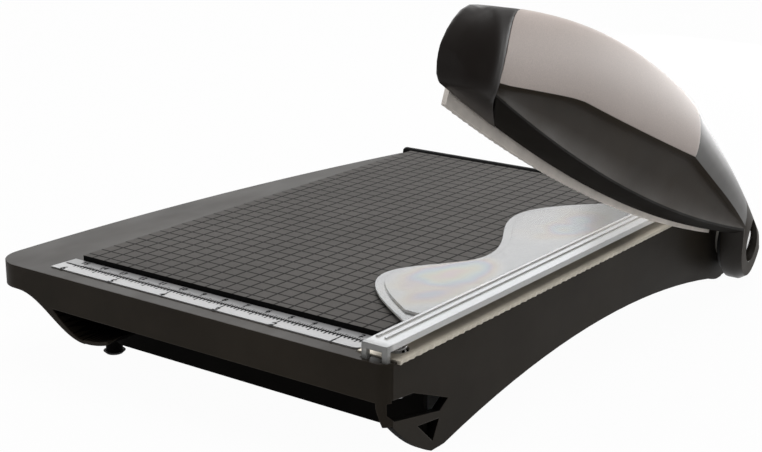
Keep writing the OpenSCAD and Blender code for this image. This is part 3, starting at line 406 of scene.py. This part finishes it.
def smooth_skin(node, body, angle, more=(), picks=None):
    """The node's own surface as one smooth skin; picks gives each face its place in the looks."""
    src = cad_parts[node].data
    bm = bmesh.new()
    corner = [bm.verts.new(v.co) for v in src.vertices]
    for p in src.polygons:
        try:
            bm.faces.new([corner[i] for i in p.vertices])
        except ValueError:
            pass
    bmesh.ops.remove_doubles(bm, verts=bm.verts, dist=5e-6)
    me = bpy.data.meshes.new(node + "_skin")
    bm.to_mesh(me)
    bm.free()
    me.materials.append(LOOKS[node])
    for look in more:
        me.materials.append(look)
    if picks:
        for p in me.polygons:
            p.material_index = int(picks(p.center / MM, p.normal))
    me.polygons.foreach_set("use_smooth", [True] * len(me.polygons))
    me.set_sharp_from_angle(angle=math.radians(angle))
    o = bpy.data.objects.new(node + "_skin", me)
    bpy.context.scene.collection.objects.link(o)
    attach(o, body)
    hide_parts(node)


def fold_height(along):
    """Height of the fold between the arm's flat outer side and its rounded top."""
    if along > LEAF_S:
        x = (along - LEAF_S) / 60
        return LEAF_H - 9.66 * (math.sqrt(x * x + 0.02) - math.sqrt(0.02))
    if along > PAD_S:
        return LEAF_H + 2 * ((LEAF_S - along) / (LEAF_S - PAD_S)) ** 1.6
    return LEAF_H + 2 - 15.7 * (PAD_S - along) / 76.5


def arm_finish(c, n):
    """0 on the rounded top, 1 on the grained outer side, 2 on the bevel along the lower edge, which
    is painted shade.
    """
    y, z = c.y - PIVOT_Y, c.z - PIVOT_Z
    along = -y * math.cos(ARM_LEAN) + z * math.sin(ARM_LEAN)
    up = y * math.sin(ARM_LEAN) + z * math.cos(ARM_LEAN)
    if along < TAIL_S:
        return 1 if n.x > 0.7 else 0
    share = (along - LOW_MID_S) / LOW_HALF_S
    low_edge = 0.8 + 2.2 * share - 7.2 * (1 - share * share)
    if up - low_edge < BAND_H:
        return 2
    return 1 if n.x > 0.3 and up < fold_height(along) - 0.2 else 0


smooth_skin("arm_shell", "arm", 32, (GRAINED, EDGE), arm_finish)
smooth_skin("grip_end", "arm", 70)
smooth_skin("grip_pad", "arm", 32)


def base_finish(c, n):
    """0 on the deck, 1 painted shade where hidden below it, 2 a lighter copy as painted light on
    the upright sides and the flank's curve.
    """
    inside = 3.2 < c.y - Y_FRONT < 238.8 and c.x - X_CUT < -1.3 and c.z < 35.8
    if inside and not (n.x < -0.15 and n.z < -0.15):
        return 1
    return 0 if n.z > 0.5 else 2


smooth_skin("base_shell", "base", 22, (PAINTED_SHADE_INNER, PAINTED_LIGHT_SIDE), base_finish)


def spring(name, node, x, y, z0, z1):
    """Compression spring: a round wire swept along a helix whose two end turns lie nearly flat."""
    turns, per, sides, r, wire = 5, 28, 12, 3.3, 0.35
    n = turns * per
    verts, faces = [], []
    for i in range(n + 1):
        t = i / n
        a = 2 * math.pi * turns * t
        rise = 0.5 - 0.5 * math.cos(math.pi * t)
        z = z0 + wire + 0.06 + (z1 - z0 - 2 * wire - 0.12) * (0.75 * t + 0.25 * rise)
        c, s = math.cos(a), math.sin(a)
        for k in range(sides):
            b = 2 * math.pi * k / sides
            q = r + wire * math.cos(b)
            verts.append((x + q * c, y + q * s, z + wire * math.sin(b)))
    for i in range(n):
        for k in range(sides):
            a, b = i * sides + k, i * sides + (k + 1) % sides
            faces.append((a, b, b + sides, a + sides))
    faces.append(tuple(reversed(range(sides))))
    faces.append(tuple(n * sides + k for k in range(sides)))
    o = piece(name, verts, faces, SPRING, "base", 60)
    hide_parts(node)
    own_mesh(o)


for name, node in (("spring_front", "guard_spring_front"), ("spring_rear", "guard_spring_rear")):
    lo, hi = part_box(node)
    spring(name, node, (lo.x + hi.x) / 2 / MM, (lo.y + hi.y) / 2 / MM, lo.z / MM, hi.z / MM)


# Ruler marks: inches in the outer row, centimetres in the inner row, both counted from the cut line

INK = ink()
ruler_lo, ruler_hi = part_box("ruler_strip")


def mark(verts, faces, x0, y0, x1, y1, z):
    i = len(verts)
    verts += [(x0, y0, z), (x1, y0, z), (x1, y1, z), (x0, y1, z)]
    faces.append((i, i + 1, i + 2, i + 3))


verts, faces = [], []
mark_z = ruler_hi.z / MM + 0.02
left, right = ruler_lo.x / MM, ruler_hi.x / MM
rule_y = Y_FRONT + RULE_V
mark(verts, faces, left + 1.5, rule_y - RULE_HALF, right - 0.4, rule_y + RULE_HALF, mark_z)
for i in range(1, 16 * 7):
    x = X_CUT + ZERO_U - i * INCH / 16
    if left + 6.5 < x < right - 1.5:
        size = 3.2 if i % 16 == 0 else 2.7 if i % 8 == 0 else 2.2 if i % 4 == 0 else 1.6
        mark(verts, faces, x - 0.32, rule_y - size, x + 0.32, rule_y - RULE_HALF, mark_z)
for i in range(1, 170):
    x = X_CUT + ZERO_U - i
    if left + 9.5 < x < right - 1:
        size = 2.2 if i % 10 == 0 else 1.5 if i % 5 == 0 else 0.9
        mark(verts, faces, x - 0.2, rule_y + RULE_HALF, x + 0.2, rule_y + RULE_HALF + size, mark_z)
piece("ruler_ticks", verts, faces, INK, "base")


def numeral(text, size, x, y, z):
    """Vertices and faces of a number lying flat."""
    curve = bpy.data.curves.new("n", "FONT")
    curve.body = text
    curve.size = size * MM
    curve.align_x = "CENTER"
    curve.align_y = "CENTER"
    curve.resolution_u = 3
    curve.offset = 0.17 * MM
    o = bpy.data.objects.new("n", curve)
    bpy.context.scene.collection.objects.link(o)
    bpy.context.view_layer.update()
    me = bpy.data.meshes.new_from_object(o.evaluated_get(bpy.context.evaluated_depsgraph_get()))
    v = [(x + p.co.x / MM, y + p.co.y / MM, z) for p in me.vertices]
    f = [tuple(p.vertices) for p in me.polygons]
    bpy.data.objects.remove(o)
    bpy.data.curves.remove(curve)
    bpy.data.meshes.remove(me)
    return v, f


verts, faces = [], []
places = [(str(i), 4.4, X_CUT + ZERO_U - INCH * i, rule_y - 5.2) for i in range(1, 7)]
places += [(str(i), 3.3, X_CUT + ZERO_U - 10 * i, rule_y + 3.6) for i in range(2, 16)]
for text, size, x, y in places:
    if left + 4 < x < right - 2:
        v, f = numeral(text, size, x, y, mark_z)
        faces += [tuple(i + len(verts) for i in q) for q in f]
        verts += v
piece("ruler_numbers", verts, faces, INK, "base")


# Stage, lights and camera

def floor_look():
    """Pale floor that shows as white, apart from the patch in the shade below the deck."""
    m, nt, b = new_material("floor_pale")
    b.inputs["Base Color"].default_value = (0.6, 0.6, 0.6, 1)
    b.inputs["Roughness"].default_value = 0.9
    b.inputs["Specular IOR Level"].default_value = 0.1
    path = nt.nodes.new("ShaderNodeLightPath")
    glow = add(nt, "Emission", Color=(1, 1, 1, 1), Strength=1.0)
    mix = nt.nodes.new("ShaderNodeMixShader")
    seen = math_node(nt, "MAXIMUM", path.outputs["Is Camera Ray"],
                     path.outputs["Is Transmission Ray"])
    seen = math_node(nt, "MAXIMUM", seen, path.outputs["Is Glossy Ray"])
    xyz = nt.nodes.new("ShaderNodeSeparateXYZ")
    nt.links.new(place(nt), xyz.inputs[0])
    shade = 1.0
    for axis, lo, hi in (("X", X_CUT - 80, X_CUT - 17), ("Y", Y_FRONT + 44, Y_FRONT + 92)):
        rise = span(nt, xyz.outputs[axis], (lo - 3) * MM, lo * MM)
        fall = span(nt, xyz.outputs[axis], (hi + 3) * MM, hi * MM)
        shade = math_node(nt, "MULTIPLY", math_node(nt, "MULTIPLY", rise, fall), shade)
    bright = math_node(nt, "SUBTRACT", FLOOR_GLOW, math_node(nt, "MULTIPLY", shade, FLOOR_GLOW))
    nt.links.new(math_node(nt, "MULTIPLY", seen, bright), mix.inputs[0])
    nt.links.new(b.outputs[0], mix.inputs[1])
    nt.links.new(glow.outputs[0], mix.inputs[2])
    nt.links.new(mix.outputs[0], nt.nodes["Material Output"].inputs["Surface"])
    return m


def sheet(name, size, z, look):
    me = bpy.data.meshes.new(name)
    s = size / 2
    me.from_pydata([(-s, -s, z), (s, -s, z), (s, s, z), (-s, s, z)], [], [(0, 1, 2, 3)])
    me.materials.append(look)
    o = bpy.data.objects.new(name, me)
    bpy.context.scene.collection.objects.link(o)
    return o


sheet("floor", 12.0, 0.0, floor_look())

world = bpy.data.worlds.new("studio")
bpy.context.scene.world = world
world.use_nodes = True
nt = world.node_tree
ground = nt.nodes["Background"]
ground.inputs["Color"].default_value = (1, 1, 1, 1)
path = nt.nodes.new("ShaderNodeLightPath")
seen = math_node(nt, "MAXIMUM", path.outputs["Is Camera Ray"],
                 path.outputs["Is Transmission Ray"])
way = nt.nodes.new("ShaderNodeVectorMath")
way.operation = "DOT_PRODUCT"
way.inputs[1].default_value = (-0.5, 0.8, 0.33)
nt.links.new(nt.nodes.new("ShaderNodeTexCoord").outputs["Generated"], way.inputs[0])
room = span(nt, way.outputs["Value"], -0.5, 0.8, 0.11, 0.6)
sky = span(nt, way.outputs["Value"], -0.5, 0.8, 0.3, 1.0)
shine = math_node(nt, "MULTIPLY", path.outputs["Is Glossy Ray"], sky)
level = math_node(nt, "MAXIMUM", math_node(nt, "MAXIMUM", room, seen), shine)
nt.links.new(level, ground.inputs["Strength"])


def lamp(name, place, aim, size, power):
    data = bpy.data.lights.new(name, "AREA")
    data.shape = "RECTANGLE"
    data.size, data.size_y = size
    data.energy = power
    o = bpy.data.objects.new(name, data)
    o.location = place
    o.rotation_mode = "QUATERNION"
    o.rotation_quaternion = (Vector(aim) - Vector(place)).to_track_quat("-Z", "Y")
    o.visible_camera = False
    bpy.context.scene.collection.objects.link(o)


lamp("top", (0.05, 0.15, 1.2), (0, 0, 0.05), (0.9, 0.9), 9.0)
lamp("back_left", (-0.9, 0.9, 0.7), (0, 0, 0.05), (1.0, 0.6), 4.0)
lamp("right", (1.1, -0.7, 0.6), (0, 0, 0.06), (0.7, 0.5), 0.5)
lamp("front", (-0.5, -1.2, 0.5), (0, 0, 0.03), (0.8, 0.5), 1.2)
lamp("rim", (0.1, 0.75, 0.1), (0.09, 0.05, 0.08), (0.7, 0.18), 2.3)

cam = bpy.data.cameras.new("camera")
cam.sensor_width = 36.0
cam.lens = 1490.0 * 36.0 / 762.0
camera = bpy.data.objects.new("camera", cam)
right_axis = Vector((0.80846211, 0.58852243, 0.00550973))
down_axis = Vector((0.16843926, -0.22239729, -0.96029561))
look_axis = Vector((-0.56393016, 0.77729067, -0.27893007))
turn = Matrix((right_axis, -down_axis, -look_axis)).transposed()
camera.matrix_world = Matrix.Translation(Vector((334.247, -488.545, 209.452)) * MM) @ turn.to_4x4()
bpy.context.scene.collection.objects.link(camera)
bpy.context.scene.camera = camera
bpy.context.scene.view_settings.view_transform = "Standard"

bpy.context.view_layer.update()
